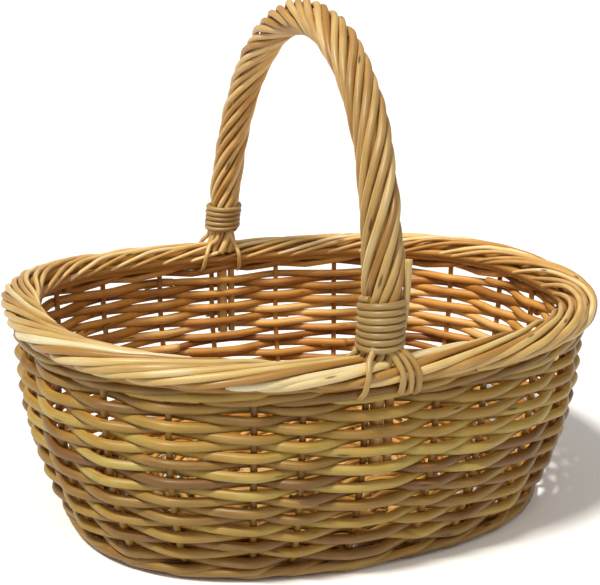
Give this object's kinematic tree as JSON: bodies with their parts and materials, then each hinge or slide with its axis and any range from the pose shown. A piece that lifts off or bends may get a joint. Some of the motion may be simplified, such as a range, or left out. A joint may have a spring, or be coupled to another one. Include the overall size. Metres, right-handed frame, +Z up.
{
  "type": "basket",
  "caption": "Oval willow market basket with curved randed walls, a rolled border and one fixed roped cross handle bound at both feet.",
  "frame": {"origin": "on the floor, under the middle of the body's oval footprint", "axes": "+X along the basket's length, +Y across it (along the handle's arch), +Z up"},
  "size_m": [0.45, 0.3865, 0.3791],
  "materials": {
    "stake_rods": "smooth buff willow, satin",
    "weave_rods": "smooth buff willow, satin",
    "border_rods": "smooth buff willow, satin",
    "base_weave_rods": "smooth buff willow, satin",
    "base_sticks": "smooth buff willow, satin",
    "binding_rods": "smooth buff willow, satin",
    "roping_rods": "smooth buff willow, satin",
    "handle_bow_rods": "smooth buff willow, satin"
  },
  "bodies": {
    "root": {"base_cross_stick_1": "base_sticks", "base_cross_stick_2": "base_sticks", "base_cross_stick_3": "base_sticks", "base_cross_stick_4": "base_sticks", "base_cross_stick_5": "base_sticks", "base_cross_stick_6": "base_sticks", "base_cross_stick_7": "base_sticks", "base_long_stick_1": "base_sticks", "base_long_stick_2": "base_sticks", "base_long_stick_3": "base_sticks", "base_weave_centre": "base_weave_rods", "base_weave_middle": "base_weave_rods", "base_weave_outer": "base_weave_rods", "foot_wale": "weave_rods", "handle_binding_back": "binding_rods", "handle_binding_front": "binding_rods", "handle_bow": "handle_bow_rods", "handle_liner_back": "handle_bow_rods", "handle_liner_front": "handle_bow_rods", "handle_roping": "roping_rods", "handle_tucked_ends_back": "roping_rods", "handle_tucked_ends_front": "roping_rods", "rolled_border": "border_rods", "side_stake_01": "stake_rods", "side_stake_02": "stake_rods", "side_stake_03": "stake_rods", "side_stake_04": "stake_rods", "side_stake_05": "stake_rods", "side_stake_06": "stake_rods", "side_stake_07": "stake_rods", "side_stake_08": "stake_rods", "side_stake_09": "stake_rods", "side_stake_10": "stake_rods", "side_stake_11": "stake_rods", "side_stake_12": "stake_rods", "side_stake_13": "stake_rods", "side_stake_14": "stake_rods", "side_stake_15": "stake_rods", "side_stake_16": "stake_rods", "side_stake_17": "stake_rods", "side_stake_18": "stake_rods", "side_stake_19": "stake_rods", "side_stake_20": "stake_rods", "side_stake_21": "stake_rods", "side_stake_22": "stake_rods", "side_stake_23": "stake_rods", "side_stake_24": "stake_rods", "side_stake_25": "stake_rods", "side_weave_band_1": "weave_rods", "side_weave_band_2": "weave_rods", "side_weave_band_3": "weave_rods", "side_weave_band_4": "weave_rods", "top_wale": "weave_rods"}
  },
  "joints": []
}
